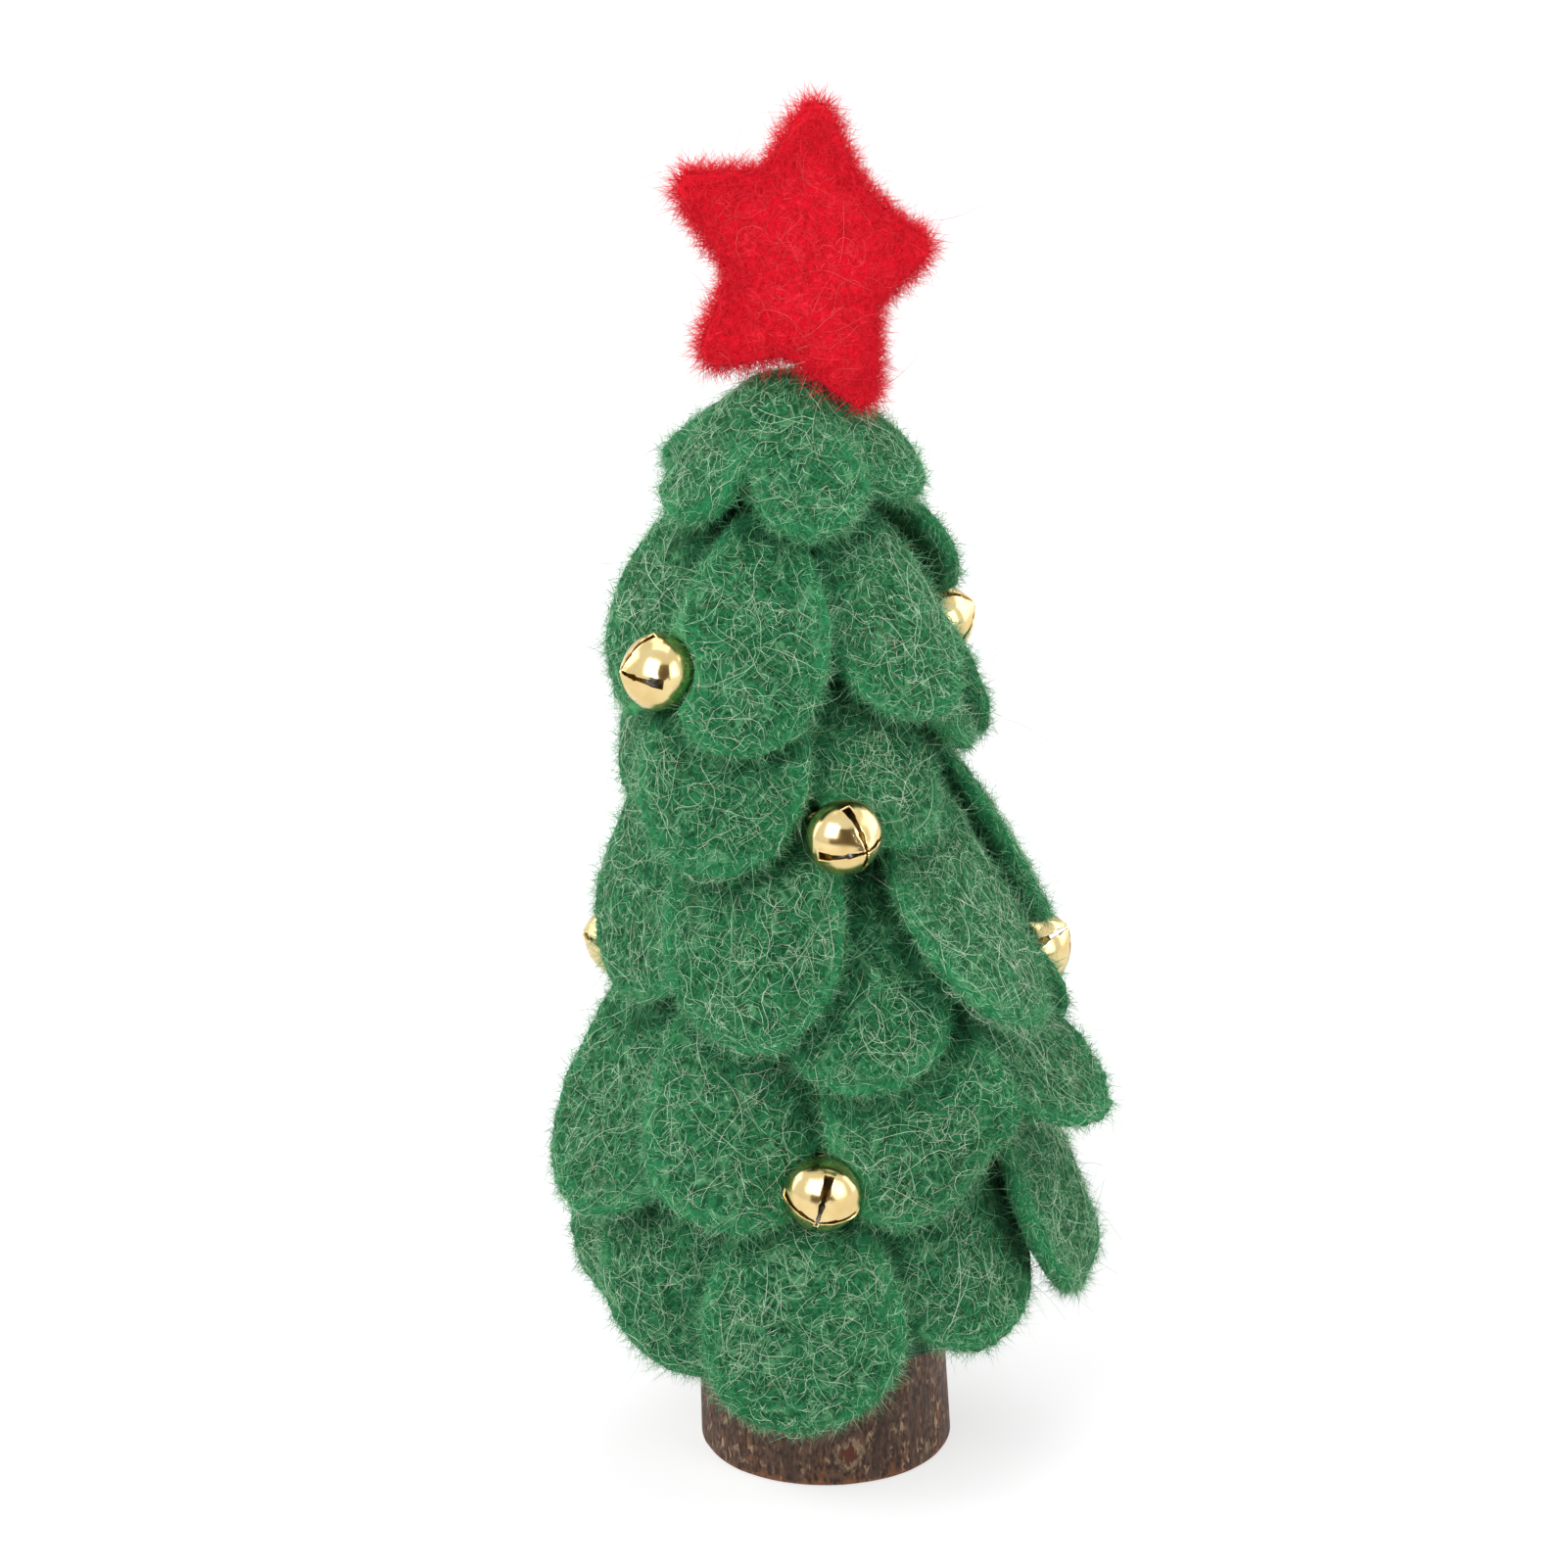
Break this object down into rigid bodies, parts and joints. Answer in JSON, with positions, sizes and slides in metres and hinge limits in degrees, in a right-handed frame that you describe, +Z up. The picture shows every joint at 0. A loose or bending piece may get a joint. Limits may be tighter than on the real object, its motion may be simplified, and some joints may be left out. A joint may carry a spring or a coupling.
{
  "type": "felt christmas ornament",
  "caption": "Small standing felt tree on a bark log: overlapping wool petals in tiers over a foam cone, a flower-cut cap, jingle bells with loose pellets and a felt star on the tip.",
  "frame": {"origin": "centre of the log's sawn underside, where the leaning tree's axis meets the ground", "axes": "+Z up, -Y towards the front that the picture shows, +X to the right in the picture"},
  "size_m": [0.0588, 0.0598, 0.1489],
  "materials": {
    "green_felt": "thick fuzzy wool felt",
    "red_felt": "thick fuzzy wool felt",
    "bark_wood": "bark on, sawn ends",
    "foam": "rough light foam",
    "gold_plate": "polished plate",
    "pellet_steel": "plain"
  },
  "bodies": {
    "tree": {"log_foot": "bark_wood", "core_cone": "foam", "top_star": "red_felt", "jingle_bell_1": "gold_plate", "jingle_bell_2": "gold_plate", "jingle_bell_3": "gold_plate", "jingle_bell_4": "gold_plate", "jingle_bell_5": "gold_plate", "jingle_bell_6": "gold_plate", "jingle_bell_7": "gold_plate", "jingle_bell_8": "gold_plate", "hem_petal_1": "green_felt", "hem_petal_2": "green_felt", "hem_petal_3": "green_felt", "hem_petal_4": "green_felt", "hem_petal_5": "green_felt", "hem_petal_6": "green_felt", "hem_petal_7": "green_felt", "hem_petal_8": "green_felt", "hem_petal_9": "green_felt", "skirt_petal_1": "green_felt", "skirt_petal_2": "green_felt", "skirt_petal_3": "green_felt", "skirt_petal_4": "green_felt", "skirt_petal_5": "green_felt", "skirt_petal_6": "green_felt", "skirt_petal_7": "green_felt", "skirt_petal_8": "green_felt", "lower_petal_1": "green_felt", "lower_petal_2": "green_felt", "lower_petal_3": "green_felt", "lower_petal_4": "green_felt", "lower_petal_5": "green_felt", "lower_petal_6": "green_felt", "lower_petal_7": "green_felt", "lower_petal_8": "green_felt", "middle_petal_1": "green_felt", "middle_petal_2": "green_felt", "middle_petal_3": "green_felt", "middle_petal_4": "green_felt", "middle_petal_5": "green_felt", "middle_petal_6": "green_felt", "middle_petal_7": "green_felt", "upper_petal_1": "green_felt", "upper_petal_2": "green_felt", "upper_petal_3": "green_felt", "upper_petal_4": "green_felt", "upper_petal_5": "green_felt", "upper_petal_6": "green_felt", "upper_petal_7": "green_felt", "crown_cap": "green_felt"},
    "pellet_1": {"bell_pellet_1": "pellet_steel"},
    "pellet_2": {"bell_pellet_2": "pellet_steel"},
    "pellet_3": {"bell_pellet_3": "pellet_steel"},
    "pellet_4": {"bell_pellet_4": "pellet_steel"},
    "pellet_5": {"bell_pellet_5": "pellet_steel"},
    "pellet_6": {"bell_pellet_6": "pellet_steel"},
    "pellet_7": {"bell_pellet_7": "pellet_steel"},
    "pellet_8": {"bell_pellet_8": "pellet_steel"}
  },
  "joints": [
    {"name": "pellet_1_rattle", "type": "slide", "parent": "tree", "child": "pellet_1", "axis": [0, 0, 1], "range_m": [0, 0.0037]},
    {"name": "pellet_2_rattle", "type": "slide", "parent": "tree", "child": "pellet_2", "axis": [0, 0, 1], "range_m": [0, 0.0037]},
    {"name": "pellet_3_rattle", "type": "slide", "parent": "tree", "child": "pellet_3", "axis": [0, 0, 1], "range_m": [0, 0.0037]},
    {"name": "pellet_4_rattle", "type": "slide", "parent": "tree", "child": "pellet_4", "axis": [0, 0, 1], "range_m": [0, 0.0037]},
    {"name": "pellet_5_rattle", "type": "slide", "parent": "tree", "child": "pellet_5", "axis": [0, 0, 1], "range_m": [0, 0.0037]},
    {"name": "pellet_6_rattle", "type": "slide", "parent": "tree", "child": "pellet_6", "axis": [0, 0, 1], "range_m": [0, 0.0037]},
    {"name": "pellet_7_rattle", "type": "slide", "parent": "tree", "child": "pellet_7", "axis": [0, 0, 1], "range_m": [0, 0.0037]},
    {"name": "pellet_8_rattle", "type": "slide", "parent": "tree", "child": "pellet_8", "axis": [0, 0, 1], "range_m": [0, 0.0037]}
  ]
}
